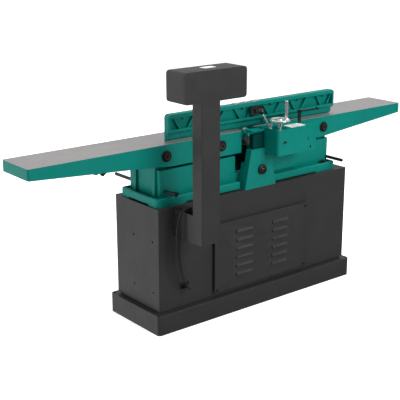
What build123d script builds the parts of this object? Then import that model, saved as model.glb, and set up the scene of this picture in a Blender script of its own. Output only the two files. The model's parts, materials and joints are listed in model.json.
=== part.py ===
from build123d import *
from math import cos, pi, radians, sin
import os

# Eight-inch parallelogram jointer on a sheet-metal stand, with a column-mounted control box.
# Frame: millimetres, +Z up, origin on the floor under the cutterhead axis and the middle of the stand.
# +X points to the infeed end, -Y to the operator's side, +Y to the fence carriage and control column.

os.makedirs("parts", exist_ok=True)

# ---------------------------------------------------------------- driving sizes
TABLE_TOP = 800.0          # working height
TABLE_HALF = 102.0         # half of the table width, 8 inches across
INFEED_END = 1112.0        # outer end of the infeed table
OUTFEED_END = -998.0       # outer end of the outfeed table
TABLE_LIP = 44.0           # each table stops this far from the cutterhead axis
TABLE_PLATE = 16.0         # thickness of the ground top plate
TABLE_SKIRT = 12.0         # thickness of the side skirts

PLINTH = (582.0, 182.0, 98.0)      # half length, half width, height
PLINTH_TRAY = 88.0                 # height of the plinth's outer ledge, below the cabinet
PLINTH_RADIUS = 14.0               # vertical corners of the plinth
CABINET = (558.5, 157.5, 547.0)    # half length, half width, top height
SHEET = 2.5                        # steel sheet of stand, column and box

BASE_X = (-487.0, 507.0)           # walls of the cast base
BASE_Y = (-123.0, 102.0)
BASE_TOP = 693.0
FLANGE_X = (-503.0, 548.0)
FLANGE_Y = (-131.0, 137.0)
FLANGE_TOP = 584.0
BASE_WALL = 14.0
FLANGE_GROOVE = 10.0               # depth of the groove behind the flange's rolled rim
FOOT_RELIEF = 6.0                  # gap under the flange between its corner feet

CUTTER_RADIUS = 40.0               # cutting circle
CUTTER_Z = TABLE_TOP - CUTTER_RADIUS
BEARING_BORE = 24.0                # bore of the bearing blocks
CUTTER_BODY = 38.4                 # radius of the steel head under the insert tips

ECCENTRIC = 12.0                   # offset of table journals from shaft axis
JOURNAL = 22.0                     # radius of the eccentric discs in the table skirts
SHAFT = 9.5                        # radius of the cross shafts
JOURNAL_Z = 751.0
INFEED_JOURNALS = (473.0, 176.0)   # x of the disc centres, outer one first
OUTFEED_JOURNALS = (-450.0, -153.0)
RUNNING = 0.06                     # radial clearance of running fits

FENCE_X = (-527.0, 451.0)
FENCE_FACE = 60.0                  # y of the fence's working face at rest
FENCE_BOTTOM = TABLE_TOP + 1.0
FENCE_HEIGHT = 118.0
FENCE_PLATE = 12.0
FENCE_DEPTH = 32.0                 # plate and rims together
ROCKER = 34.0                      # radius of the lugs that rock in the carriage

CARRIAGE_X = (-270.0, -30.0)
CARRIAGE_REAR = 240.0
CARRIAGE_Z = (801.0, 812.0)
BRACKET_Z = (697.0, 800.5)
SPINDLE = (-70.0, 204.0)           # vertical pinion shaft under the chrome handwheel
SPINDLE_RADIUS = 6.5
PINION_TEETH = 16
MODULE = 1.0

COLUMN_X = (391.0, 485.0)
COLUMN_Y = (290.0, 350.0)
COLUMN_Z = (427.0, 1009.0)
BOX_X = (255.0, 568.5)
BOX_Y = (235.0, 350.0)
BOX_Z = (1009.0, 1133.0)
START_X = 494.0
STOP_X = 330.0
BUTTON_Z = 1071.0
BUTTON_RADIUS = 15.5
MUSHROOM_RADIUS = 26.0

PANEL_X = (-288.0, 270.0)
PANEL_Z = (115.0, 428.0)
PANEL_STAND_OFF = 13.0

LIFT_BAR_Z = 603.0
MOTOR_Z = 235.0
PULLEY_Y = (124.0, 146.0)
HEAD_PULLEY = 20.0
MOTOR_PULLEY = 44.0

GUARD_PIVOT = (95.0, -122.0)


# ---------------------------------------------------------------- helpers
def span(x, y, z, mode=Mode.ADD):
    """A box from low to high along each axis, added to the open part."""
    centre = tuple((low + high) / 2 for low, high in (x, y, z))
    with Locations(centre):
        Box(x[1] - x[0], y[1] - y[0], z[1] - z[0], mode=mode)


def bar_x(x, y, z, radius, mode=Mode.ADD):
    """A round bar along X from x[0] to x[1]."""
    with Locations(Location(((x[0] + x[1]) / 2, y, z), (0, 90, 0))):
        Cylinder(radius, x[1] - x[0], mode=mode)


def bar_y(x, y, z, radius, mode=Mode.ADD):
    """A round bar along Y from y[0] to y[1]."""
    with Locations(Location((x, (y[0] + y[1]) / 2, z), (90, 0, 0))):
        Cylinder(radius, y[1] - y[0], mode=mode)


def bar_z(x, y, z, radius, mode=Mode.ADD):
    """A round bar along Z from z[0] to z[1]."""
    with Locations((x, y, (z[0] + z[1]) / 2)):
        Cylinder(radius, z[1] - z[0], mode=mode)


def side_profile(points, y, mode=Mode.ADD):
    """Extrudes a closed outline of (x, z) points from y[0] to y[1]."""
    with BuildSketch(Plane.XZ.offset(-y[1])) as outline:
        with BuildLine():
            Polyline(*points, close=True)
        make_face()
    extrude(outline.sketch, amount=y[1] - y[0], mode=mode)


def end_profile(points, x, mode=Mode.ADD):
    """Extrudes a closed outline of (y, z) points from x[0] to x[1]."""
    with BuildSketch(Plane.YZ.offset(x[0])) as outline:
        with BuildLine():
            Polyline(*points, close=True)
        make_face()
    extrude(outline.sketch, amount=x[1] - x[0], mode=mode)


def plan_profile(points, z, mode=Mode.ADD):
    """Extrudes a closed outline of (x, y) points from z[0] to z[1]."""
    with BuildSketch(Plane.XY.offset(z[0])) as outline:
        with BuildLine():
            Polyline(*points, close=True)
        make_face()
    extrude(outline.sketch, amount=z[1] - z[0], mode=mode)


def save(builder, label):
    """Labels the finished piece and writes its STEP file."""
    builder.part.label = label
    export_step(builder.part, f"parts/{label}.step")


def vertical_edges(part):
    return part.edges().filter_by(Axis.Z)


# ---------------------------------------------------------------- stand
BOLT_HOLE = 6.5
BOLT_SHANK = 5.9
ANCHOR = (569.0, 169.0)
ANCHOR_RADIUS = 6.0
STAND_OPENING_X = (-520.0, 520.0)  # opening between plinth and cabinet
STAND_OPENING_Y = (-120.0, 120.0)

with BuildPart() as plinth:
    length, width, height = PLINTH
    span((-length, length), (-width, width), (0, PLINTH_TRAY))
    fillet(vertical_edges(plinth), PLINTH_RADIUS)
    fillet(plinth.faces().sort_by(Axis.Z)[-1].edges(), 2)
    # recessed riser that leaves a shadow gap under the cabinet
    riser = (CABINET[0] - 9, CABINET[1] - 9)
    span((-riser[0], riser[0]), (-riser[1], riser[1]), (PLINTH_TRAY - SHEET, height))
    inner = (length - SHEET, width - SHEET)
    with BuildSketch(Plane.XY.offset(SHEET)):
        RectangleRounded(2 * inner[0], 2 * inner[1], PLINTH_RADIUS - SHEET)
    extrude(amount=PLINTH_TRAY - 2 * SHEET, mode=Mode.SUBTRACT)
    inner = (riser[0] - SHEET, riser[1] - SHEET)
    hollow = (PLINTH_TRAY - 2 * SHEET, height - SHEET)
    span((-inner[0], inner[0]), (-inner[1], inner[1]), hollow, Mode.SUBTRACT)
    span(STAND_OPENING_X, STAND_OPENING_Y, (PLINTH_TRAY, height + 1), Mode.SUBTRACT)
    for x in (-ANCHOR[0], ANCHOR[0]):
        for y in (-ANCHOR[1], ANCHOR[1]):
            bar_z(x, y, (-1, height + 1), ANCHOR_RADIUS, Mode.SUBTRACT)
save(plinth, "plinth")

BELT_SLOT_X = (-64.0, 64.0)
CHIP_X = (-58.0, 58.0)
CHIP_Y = (-95.0, 95.0)
DUST_PORT = (0.0, 452.0)           # x and z of the port in the front wall
DUST_RADIUS = 50.0
DUST_WALL = 1.5
PORT_SCREWS = [(DUST_PORT[0] + dx, DUST_PORT[1] + dz) for dx in (-59, 59) for dz in (-53, 53)]
PORT_SCREW_HOLE = 2.5
BASE_BOLTS = [(x, y) for x in (-436.0, 436.0) for y in (-90.0, 119.5)]
END_HOLES = [(y, z) for y in (-26.0, 112.0) for z in (172.0, 398.0)]
CABLE_ENTRY = (426.0, 187.0)       # x and z in the rear wall
PANEL_SCREWS = [(x, z) for x in (-276.0, 256.0) for z in (125.0, 412.0)]

with BuildPart() as cabinet:
    length, width, top = CABINET
    bottom = PLINTH[2]
    span((-length, length), (-width, width), (bottom, top))
    fillet(vertical_edges(cabinet), 4)
    walls = (length - SHEET, width - SHEET)
    span((-walls[0], walls[0]), (-walls[1], walls[1]), (bottom + SHEET, top - SHEET), Mode.SUBTRACT)
    span(STAND_OPENING_X, STAND_OPENING_Y, (bottom - 1, bottom + 5), Mode.SUBTRACT)
    span(CHIP_X, CHIP_Y, (top - 10, top + 1), Mode.SUBTRACT)
    span(BELT_SLOT_X, (116, 152), (top - 10, top + 1), Mode.SUBTRACT)
    span((-262, 242), (width - 10, width + 1), (140, 398), Mode.SUBTRACT)
    front = (-width - 1, -width + 10)
    bar_y(DUST_PORT[0], front, DUST_PORT[1], DUST_RADIUS - DUST_WALL, Mode.SUBTRACT)
    for x, z in PORT_SCREWS:
        bar_y(x, front, z, PORT_SCREW_HOLE, Mode.SUBTRACT)
    bar_y(CABLE_ENTRY[0], (width - 10, width + 1), CABLE_ENTRY[1], 12, Mode.SUBTRACT)
    for y, z in END_HOLES:
        bar_x((length - 10, length + 1), y, z, 4.5, Mode.SUBTRACT)
    for x, y in BASE_BOLTS:
        bar_z(x, y, (top - 10, top + 1), BOLT_HOLE, Mode.SUBTRACT)
    for x, z in PANEL_SCREWS:
        bar_y(x, (width - 10, width + 1), z, 3.0, Mode.SUBTRACT)
save(cabinet, "cabinet")

PANEL_Y = (CABINET[1] + PANEL_STAND_OFF, CABINET[1] + PANEL_STAND_OFF + 2.0)
LOUVRE_LENGTH = 94.0
LOUVRE_PITCH = 40.0
LOUVRE_FIRST = 174.0
LOUVRE_COLUMNS = (100.0, -114.0)
LOUVRE_DEPTH = 6.0

with BuildPart() as access_panel:
    span(PANEL_X, PANEL_Y, PANEL_Z)
    skin, proud = PANEL_Y[0], PANEL_Y[1] + LOUVRE_DEPTH
    for centre in LOUVRE_COLUMNS:
        ends = (centre - LOUVRE_LENGTH / 2, centre + LOUVRE_LENGTH / 2)
        for row in range(6):
            z = LOUVRE_FIRST + row * LOUVRE_PITCH
            hood = [(skin, z + 11), (PANEL_Y[1], z + 11), (proud, z), (proud, z - 5), (skin, z - 5)]
            end_profile(hood, ends)
            inside = (ends[0] + 1.5, ends[1] - 1.5)
            hollow = [(skin - 1, z + 9), (skin + 0.5, z + 9), (proud - 1.6, z - 0.5), (proud - 1.6, z - 6)]
            end_profile(hollow + [(skin - 1, z - 6)], inside, Mode.SUBTRACT)
    # tubular feet that hold the panel off the rear wall
    for x, z in PANEL_SCREWS:
        bar_y(x, (CABINET[1], skin), z, 7)
        bar_y(x, (CABINET[1] - 1, PANEL_Y[1] + 1), z, 3.2, Mode.SUBTRACT)
save(access_panel, "access_panel")

FRONT = -CABINET[1]
with BuildPart() as dust_port:
    x, z = DUST_PORT
    span((x - 68, x + 68), (FRONT - 2.5, FRONT), (z - 62, z + 62))
    fillet(dust_port.edges().filter_by(Axis.Y), 8)
    bar_y(x, (FRONT - 62, FRONT - 2.5), z, DUST_RADIUS)
    bar_y(x, (FRONT - 70, FRONT + 1), z, DUST_RADIUS - DUST_WALL, Mode.SUBTRACT)
    for x, z in PORT_SCREWS:
        bar_y(x, (FRONT - 3, FRONT + 1), z, PORT_SCREW_HOLE, Mode.SUBTRACT)
save(dust_port, "dust_port")


def cross_screw(x, z, face, out, length):
    """A cross-head screw whose head sits on the plane y = face and points along out."""
    shank = sorted((face, face - out * length))
    head = sorted((face, face + out * 2.6))
    slot = sorted((face + out * 1.4, face + out * 3))
    bar_y(x, shank, z, 2.3)
    bar_y(x, head, z, 5)
    span((x - 0.6, x + 0.6), slot, (z - 3.5, z + 3.5), Mode.SUBTRACT)
    span((x - 3.5, x + 3.5), slot, (z - 0.6, z + 0.6), Mode.SUBTRACT)


with BuildPart() as sheet_screws:
    for x, z in PANEL_SCREWS:
        cross_screw(x, z, PANEL_Y[1], 1, 20)
    for x, z in PORT_SCREWS:
        cross_screw(x, z, FRONT - 2.5, -1, 4.9)
save(sheet_screws, "sheet_screws")

with BuildPart() as chip_chute:
    inner_front = FRONT + SHEET
    roof = CABINET[2] - SHEET
    outline = [(inner_front, 398), (inner_front, roof - 40), (-99, roof), (99, roof), (99, roof - 8)]
    end_profile(outline, (-62, 62))
    cavity = [(inner_front - 1, 400.5), (inner_front - 1, roof - 41), (-97, roof + 1)]
    cavity += [(97, roof + 1), (97, roof - 7)]
    end_profile(cavity, (-60, 60), Mode.SUBTRACT)
save(chip_chute, "chip_chute")

# ---------------------------------------------------------------- cast base
BASE_SHAFTS = [x + ECCENTRIC for x in INFEED_JOURNALS] + [x - ECCENTRIC for x in OUTFEED_JOURNALS]
EAR_Y = (60.0, 76.0)
EAR_HALF = 27.0
BELT_GAP = 99.0                    # half width of the opening behind the cutterhead
LIFT_BAR_X = (482.0, -478.0)
LIFT_BAR_RADIUS = 7.5
ARM_HALF = 40.0
REAR_ARM_HALF = 29.0               # narrow, to pass beside the fence bracket

BRACKET_BOLTS = [(x, 672.0) for x in (-235.0, -135.0)]
BRACKET_FOOT = BASE_Y[1] + 14
END_PLUG = (-82.0, 643.0)          # y and z of the hole in the base's infeed end

with BuildPart() as base_casting:
    span(FLANGE_X, FLANGE_Y, (CABINET[2], FLANGE_TOP))
    fillet(vertical_edges(base_casting), 18)
    fillet(base_casting.faces().sort_by(Axis.Z)[-1].edges(), 5)
    # groove between the rolled rim and the walls
    groove = (FLANGE_TOP - FLANGE_GROOVE, FLANGE_TOP + 1)
    span((FLANGE_X[0] + 12, FLANGE_X[1] - 12), (FLANGE_Y[0] + 5, FLANGE_Y[1] - 12), groove, Mode.SUBTRACT)
    # relief under the flange between the corner feet
    relief = (CABINET[2] - 1, CABINET[2] + FOOT_RELIEF)
    span((FLANGE_X[0] + 130, FLANGE_X[1] - 150), (FLANGE_Y[0] - 1, FLANGE_Y[1] + 1), relief, Mode.SUBTRACT)
    span((FLANGE_X[0] - 1, FLANGE_X[1] + 1), (-70, 74), relief, Mode.SUBTRACT)
    with BuildSketch(Plane.XY.offset(groove[0] - 1)):
        with Locations(((BASE_X[0] + BASE_X[1]) / 2, (BASE_Y[0] + BASE_Y[1]) / 2)):
            RectangleRounded(BASE_X[1] - BASE_X[0], BASE_Y[1] - BASE_Y[0], 12)
    extrude(amount=BASE_TOP - groove[0] + 1)
    inside_x = (BASE_X[0] + BASE_WALL, BASE_X[1] - BASE_WALL)
    inside_y = (BASE_Y[0] + BASE_WALL, BASE_Y[1] - BASE_WALL)
    span(inside_x, inside_y, (CABINET[2] - 1, BASE_TOP + 1), Mode.SUBTRACT)
    # opening for the pulley and belt in the rear wall and flange
    rear = (inside_y[1] - 1, FLANGE_Y[1] + 1)
    span((-BELT_GAP, BELT_GAP), rear, (CABINET[2] - 1, BASE_TOP + 1), Mode.SUBTRACT)
    # cross walls, and ears that carry the eccentric shafts
    for x in BASE_SHAFTS:
        span((x - 7, x + 7), inside_y, (groove[0], BASE_TOP - 25))
        for low, high in (EAR_Y, (-EAR_Y[1], -EAR_Y[0])):
            outline = [(x - 34, groove[0]), (x + 34, groove[0])]
            outline += [(x + EAR_HALF, JOURNAL_Z), (x - EAR_HALF, JOURNAL_Z)]
            side_profile(outline, (low, high))
            bar_y(x, (low, high), JOURNAL_Z, 21.5)
    # arms that carry the cutterhead bearing blocks
    seat = CUTTER_Z - 22
    span((-ARM_HALF, ARM_HALF), (BASE_Y[0], BASE_Y[0] + 19), (BASE_TOP - 2, seat))
    span((-REAR_ARM_HALF, REAR_ARM_HALF), (104, 122), (FLANGE_TOP - 20, seat))
    span((-REAR_ARM_HALF, REAR_ARM_HALF), (inside_y[1] - 2, 122), (FLANGE_TOP - 20, FLANGE_TOP + 60))
    span((-BELT_GAP - 2, BELT_GAP + 2), (inside_y[1] - 8, BASE_Y[1] - 6), (CABINET[2], FLANGE_TOP + 30))
    for x in BASE_SHAFTS:
        bar_y(x, (-90, 90), JOURNAL_Z, SHAFT + RUNNING, Mode.SUBTRACT)
    for y in ((BASE_Y[0] - 1, BASE_Y[0] + 20), (103, 123)):
        bar_y(0, y, CUTTER_Z, BEARING_BORE, Mode.SUBTRACT)
    for x in LIFT_BAR_X:
        bar_y(x, (BASE_Y[0] - 1, BASE_Y[1] + 1), LIFT_BAR_Z, LIFT_BAR_RADIUS + 0.3, Mode.SUBTRACT)
    bar_x((inside_x[1] - 1, BASE_X[1] + 1), END_PLUG[0], END_PLUG[1], 7, Mode.SUBTRACT)
    for x, z in BRACKET_BOLTS:
        bar_y(x, (BASE_Y[1] - BASE_WALL - 1, BASE_Y[1] + 1), z, BOLT_HOLE, Mode.SUBTRACT)
    for x, y in BASE_BOLTS:
        if y < 0:
            span((x - 18, x + 18), (inside_y[0] - 1, y + 18), (CABINET[2], FLANGE_TOP))
        bar_z(x, y, (CABINET[2], FLANGE_TOP), 13)
        bar_z(x, y, (CABINET[2] - 1, FLANGE_TOP + 1), BOLT_HOLE, Mode.SUBTRACT)
save(base_casting, "base_casting")

with BuildPart() as frame_bolts:
    for x, y in BASE_BOLTS:
        bar_z(x, y, (CABINET[2] - 20, FLANGE_TOP + 8), BOLT_SHANK)
        bar_z(x, y, (FLANGE_TOP, FLANGE_TOP + 2.5), 12)
        for z in (FLANGE_TOP + 2.5, CABINET[2] - SHEET - 8):
            with BuildSketch(Plane.XY.offset(z)):
                with Locations((x, y)):
                    RegularPolygon(10, 6)
            extrude(amount=8)
    for x, z in BRACKET_BOLTS:
        bar_y(x, (BASE_Y[1] - BASE_WALL - 6, BRACKET_FOOT), z, BOLT_SHANK)
        with BuildSketch(Plane.XZ.offset(-BRACKET_FOOT - 8)):
            with Locations((x, z)):
                RegularPolygon(10, 6)
        extrude(amount=8)
save(frame_bolts, "frame_bolts")

LIFT_BARS = {"lift_bar_infeed": (-265, 180), "lift_bar_outfeed": (-240, 205)}
for x, (name, reach) in zip(LIFT_BAR_X, LIFT_BARS.items()):
    with BuildPart() as lift_bar:
        bar_y(x, reach, LIFT_BAR_Z, LIFT_BAR_RADIUS)
        chamfer(lift_bar.edges().filter_by(GeomType.CIRCLE), 1.5)
    save(lift_bar, name)

# ---------------------------------------------------------------- tables
TABLE_UNDER = 704.0
END_THICKNESS = 46.0
RIB_START = 74.0                   # where the hollow under each table starts
LOW_RIBS_END = 520.0               # ribs are shallow up to here, to clear the base


def table(end, journals, ribs):
    """A cast table: ground plate, tapered skirts all round, ribs and journal bosses."""
    side = 1 if end > 0 else -1
    lip = side * TABLE_LIP
    under = [(573, 716), (445, TABLE_UNDER), (62, TABLE_UNDER)]
    under += [(62, TABLE_TOP - 30), (TABLE_LIP, TABLE_TOP - 9)]
    outline = [(lip, TABLE_TOP), (end, TABLE_TOP), (end, TABLE_TOP - END_THICKNESS)]
    outline += [(side * x, z) for x, z in under]
    with BuildPart() as casting:
        side_profile(outline, (-TABLE_HALF, TABLE_HALF))
        fillet(casting.edges().filter_by(Axis.Z).group_by(Axis.X)[-1 if side > 0 else 0], 9)
        inner = TABLE_HALF - TABLE_SKIRT
        edges = [side * RIB_START] + ribs + [end - side * TABLE_SKIRT]
        hollow = (TABLE_UNDER - 2, TABLE_TOP - TABLE_PLATE)
        for start, stop in zip(edges, edges[1:]):
            low, high = sorted((start, stop))
            span((low + 5, high - 5), (-inner, inner), hollow, Mode.SUBTRACT)
        low, high = sorted((side * RIB_START, side * LOW_RIBS_END))
        span((low, high), (-inner, inner), (TABLE_UNDER - 2, TABLE_TOP - 24), Mode.SUBTRACT)
        for x in journals:
            bar_y(x, (inner - 6, TABLE_HALF), JOURNAL_Z, JOURNAL + 9)
            bar_y(x, (-TABLE_HALF, -inner + 6), JOURNAL_Z, JOURNAL + 9)
            bar_y(x, (-TABLE_HALF - 1, TABLE_HALF + 1), JOURNAL_Z, JOURNAL + RUNNING, Mode.SUBTRACT)
    return casting


infeed_table = table(INFEED_END, INFEED_JOURNALS, [220.0, 330.0, 430.0, 540.0, 680.0, 820.0, 960.0])
save(infeed_table, "infeed_table")
outfeed_table = table(OUTFEED_END, OUTFEED_JOURNALS, [-205.0, -300.0, -405.0, -540.0, -690.0, -840.0])
save(outfeed_table, "outfeed_table")

CAP = 23.5


def shaft_caps(places):
    """Round black caps over the journal bores, each with a centre screw recess."""
    with BuildPart() as caps:
        for x, side in places:
            face = side * TABLE_HALF
            low, high = sorted((face, face + side * 5))
            bar_y(x, (low, high), JOURNAL_Z, CAP)
            low, high = sorted((face + side * 5, face + side * 9))
            bar_y(x, (low, high), JOURNAL_Z, CAP - 7)
            low, high = sorted((face + side * 6, face + side * 10))
            bar_y(x, (low, high), JOURNAL_Z, 8, Mode.SUBTRACT)
            with BuildSketch(Plane.XZ.offset(-high + 1)) as head:
                with Locations((x, JOURNAL_Z)):
                    RegularPolygon(6, 6)
            extrude(head.sketch, amount=3)
    return caps


infeed_cap_places = [(x, 1) for x in INFEED_JOURNALS] + [(INFEED_JOURNALS[1], -1)]
outfeed_cap_places = [(OUTFEED_JOURNALS[0], 1), (OUTFEED_JOURNALS[1], -1)]
save(shaft_caps(infeed_cap_places), "infeed_shaft_caps")
save(shaft_caps(outfeed_cap_places), "outfeed_shaft_caps")


def eccentric_shaft(journal, side, front_reach):
    """A cross shaft with an eccentric disc at each end; front_reach is the front disc's outer y."""
    with BuildPart() as shaft:
        bar_y(journal + side * ECCENTRIC, (-84, 84), JOURNAL_Z, SHAFT)
        for low, high in ((78, 101), (front_reach, -78)):
            bar_y(journal, (low, high), JOURNAL_Z, JOURNAL)
    return shaft


LEVER_FACE = -126.0
for name, places, side in (("infeed", INFEED_JOURNALS, 1), ("outfeed", OUTFEED_JOURNALS, -1)):
    for where, x, reach in (("outer", places[0], LEVER_FACE), ("inner", places[1], -101.0)):
        save(eccentric_shaft(x, side, reach), f"{name}_{where}_shaft")


def table_lever(journal, side, length, drop):
    """Flat steel lever on the front eccentric, sloping down and outwards by drop degrees."""
    across = radians(90 - drop)
    tip = (journal + side * length * cos(radians(drop)), JOURNAL_Z - length * sin(radians(drop)))
    offset = (side * cos(across), sin(across))
    outline = [(journal + k * 15 * offset[0], JOURNAL_Z + k * 15 * offset[1]) for k in (1, -1)]
    outline += [(tip[0] + k * 8 * offset[0], tip[1] + k * 8 * offset[1]) for k in (-1, 1)]
    with BuildPart() as lever:
        side_profile(outline, (LEVER_FACE - 9, LEVER_FACE))
        bar_y(journal, (LEVER_FACE - 9, LEVER_FACE), JOURNAL_Z, 24)
        bar_y(tip[0], (LEVER_FACE - 9, LEVER_FACE), tip[1], 10)
        bar_y(tip[0], (LEVER_FACE - 50, LEVER_FACE - 9), tip[1], 6)
    with BuildPart() as knob:
        with Locations((tip[0], LEVER_FACE - 58, tip[1])):
            Sphere(17)
        bar_y(tip[0], (LEVER_FACE - 50, LEVER_FACE - 30), tip[1], 6, Mode.SUBTRACT)
        flat = (LEVER_FACE - 50, LEVER_FACE - 30)
        span((tip[0] - 20, tip[0] + 20), flat, (tip[1] - 20, tip[1] + 20), Mode.SUBTRACT)
    return lever, knob


LEVERS = (("infeed", INFEED_JOURNALS[0], 1, 190), ("outfeed", OUTFEED_JOURNALS[0], -1, 130))
for name, x, side, length in LEVERS:
    lever, knob = table_lever(x, side, length, 30)
    save(lever, f"{name}_lever")
    save(knob, f"{name}_lever_knob")

# clamp handles on the front of the base
LOCK_PLACES = {"infeed": 320.0, "outfeed": -300.0}
LOCK_Z = 650.0
for name, x in LOCK_PLACES.items():
    with BuildPart() as lock:
        bar_y(x, (BASE_Y[0] - 22, BASE_Y[0]), LOCK_Z, 12)
        bar_y(x, (BASE_Y[0] - 40, BASE_Y[0] - 22), LOCK_Z, 9)
        handle = [(x - 6, LOCK_Z), (x + 6, LOCK_Z), (x + 5, LOCK_Z - 78), (x - 5, LOCK_Z - 78)]
        side_profile(handle, (BASE_Y[0] - 38, BASE_Y[0] - 26))
        with Locations((x, BASE_Y[0] - 32, LOCK_Z - 84)):
            Sphere(12)
    save(lock, f"{name}_table_lock")

# ---------------------------------------------------------------- cutterhead and drive
HEAD_Y = (-101.0, 101.0)
INSERT_ROWS = 9
INSERTS_PER_ROW = 6
INSERT = 14.0
INSERT_SEAT = 36.4                 # distance of the insert seats from the head's axis
JOURNAL_RADIUS = 12.5              # shaft ends of the head


def insert_places():
    """Plane of every carbide insert: origin on its seat, normal outwards, along a helix."""
    for row in range(INSERTS_PER_ROW):
        for station in range(INSERT_ROWS):
            y = HEAD_Y[0] + 13 + station * 22
            angle = row * 360 / INSERTS_PER_ROW + station * 14
            yield y, angle


def insert_plane(y, angle, radius):
    """A sketch plane tangent to the head at the given angle about its axis."""
    out = (sin(radians(angle)), 0, cos(radians(angle)))
    origin = (radius * out[0], y, CUTTER_Z + radius * out[2])
    return Plane(origin=origin, x_dir=(0, 1, 0), z_dir=out)


with BuildPart() as cutterhead:
    bar_y(0, HEAD_Y, CUTTER_Z, CUTTER_BODY)
    bar_y(0, (-122, 147), CUTTER_Z, JOURNAL_RADIUS)
    for y, angle in insert_places():
        with BuildSketch(insert_plane(y, angle, INSERT_SEAT)):
            Rectangle(INSERT + 2, INSERT + 2)
        extrude(amount=6, mode=Mode.SUBTRACT)
save(cutterhead, "cutterhead")

with BuildPart() as cutter_inserts:
    for y, angle in insert_places():
        with BuildSketch(insert_plane(y, angle, INSERT_SEAT)):
            Rectangle(INSERT, INSERT)
        extrude(amount=2.2)
        with BuildSketch(insert_plane(y, angle, 37.6)):
            Circle(2.6)
        extrude(amount=2, mode=Mode.SUBTRACT)
save(cutter_inserts, "cutter_inserts")

with BuildPart() as bearing_blocks:
    for half, y in ((36, (-123, -104)), (REAR_ARM_HALF, (104, 122))):
        span((-half, half), y, (CUTTER_Z - 22, CUTTER_Z + 26))
        bar_y(0, (y[0] - 1, y[1] + 1), CUTTER_Z, BEARING_BORE, Mode.SUBTRACT)
save(bearing_blocks, "bearing_blocks")

with BuildPart() as head_bearings:
    for y in ((-121, -106), (106, 120)):
        bar_y(0, y, CUTTER_Z, BEARING_BORE - 0.05)
        bar_y(0, (y[0] - 1, y[1] + 1), CUTTER_Z, JOURNAL_RADIUS + RUNNING, Mode.SUBTRACT)
save(head_bearings, "head_bearings")


def grooved_pulley(radius, z, bore, ribs=6):
    """A poly-V pulley between the two faces of the belt plane."""
    low, high = PULLEY_Y
    with BuildPart() as pulley:
        bar_y(0, (low - 1, high + 1), z, radius)
        pitch = (high - low) / ribs
        for index in range(ribs):
            groove = low + (index + 0.5) * pitch
            with BuildSketch(Plane.YZ):
                with BuildLine():
                    crest = z + radius + 1
                    Polyline((groove - 1, crest), (groove + 1, crest), (groove, crest - 3), close=True)
                make_face()
            revolve(axis=Axis((0, 0, z), (0, 1, 0)), mode=Mode.SUBTRACT)
        bar_y(0, (low - 2, high + 2), z, bore, Mode.SUBTRACT)
    return pulley


MOTOR_BORE = 12.0
save(grooved_pulley(HEAD_PULLEY, CUTTER_Z, JOURNAL_RADIUS), "cutterhead_pulley")
save(grooved_pulley(MOTOR_PULLEY, MOTOR_Z, MOTOR_BORE), "motor_pulley")

BELT_GAP_TO_PULLEY = 0.3
BELT_THICKNESS = 3.5


def belt_loop(inset):
    """The outline round both pulleys, grown by inset, as tangent lines and arcs in the XZ plane."""
    small = HEAD_PULLEY + inset
    large = MOTOR_PULLEY + inset
    lean = (large - small) / (CUTTER_Z - MOTOR_Z)
    level = (1 - lean * lean) ** 0.5
    top = [(s * small * level, CUTTER_Z + small * lean) for s in (1, -1)]
    foot = [(s * large * level, MOTOR_Z + large * lean) for s in (1, -1)]
    with BuildLine() as loop:
        Line(foot[0], top[0])
        ThreePointArc(top[0], (0, CUTTER_Z + small), top[1])
        Line(top[1], foot[1])
        ThreePointArc(foot[1], (0, MOTOR_Z - large), foot[0])
    return loop.line


with BuildPart() as drive_belt:
    with BuildSketch(Plane.XZ.offset(-PULLEY_Y[1])):
        make_face(belt_loop(BELT_GAP_TO_PULLEY + BELT_THICKNESS).edges())
        make_face(belt_loop(BELT_GAP_TO_PULLEY).edges(), mode=Mode.SUBTRACT)
    extrude(amount=PULLEY_Y[1] - PULLEY_Y[0])
save(drive_belt, "drive_belt")

MOTOR_Y = (-118.0, 96.0)
MOTOR_RADIUS = 82.0
MOTOR_SHAFT = MOTOR_BORE
FINS = 28
FIN_CENTRE = 0.93 * MOTOR_RADIUS
with BuildPart() as motor:
    bar_y(0, MOTOR_Y, MOTOR_Z, MOTOR_RADIUS - 7)
    for k in range(FINS):
        turn = k * 360 / FINS
        place = (FIN_CENTRE * sin(radians(turn)), -8, MOTOR_Z + FIN_CENTRE * cos(radians(turn)))
        with Locations(Location(place, (0, turn, 0))):
            Box(3, 170, 13)
    bar_y(0, (MOTOR_Y[1], MOTOR_Y[1] + 12), MOTOR_Z, 38)
    span((-70, 70), (-75, 60), (MOTOR_Z - 92, MOTOR_Z - 80))
    span((-60, -40), (-75, 60), (MOTOR_Z - 90, MOTOR_Z - 50))
    span((40, 60), (-75, 60), (MOTOR_Z - 90, MOTOR_Z - 50))
    span((60, MOTOR_RADIUS + 45), (-50, 40), (MOTOR_Z - 25, MOTOR_Z + 35))
    bar_y(0, (MOTOR_Y[0] - 34, MOTOR_Y[0]), MOTOR_Z, 77)
    fillet(motor.edges().filter_by(GeomType.CIRCLE).sort_by(Axis.Y)[0], 6)
    with Locations(Location((0, MOTOR_Y[0] - 34, MOTOR_Z), (90, 0, 0))):
        with PolarLocations(45, 12):
            Cylinder(6, 12, mode=Mode.SUBTRACT)
    bar_y(0, (MOTOR_Y[0] - 1, MOTOR_Y[1] + 20), MOTOR_Z, MOTOR_SHAFT + RUNNING, Mode.SUBTRACT)
save(motor, "motor")

with BuildPart() as motor_shaft:
    bar_y(0, (MOTOR_Y[0] + 4, 150), MOTOR_Z, MOTOR_SHAFT)
save(motor_shaft, "motor_shaft")

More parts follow.
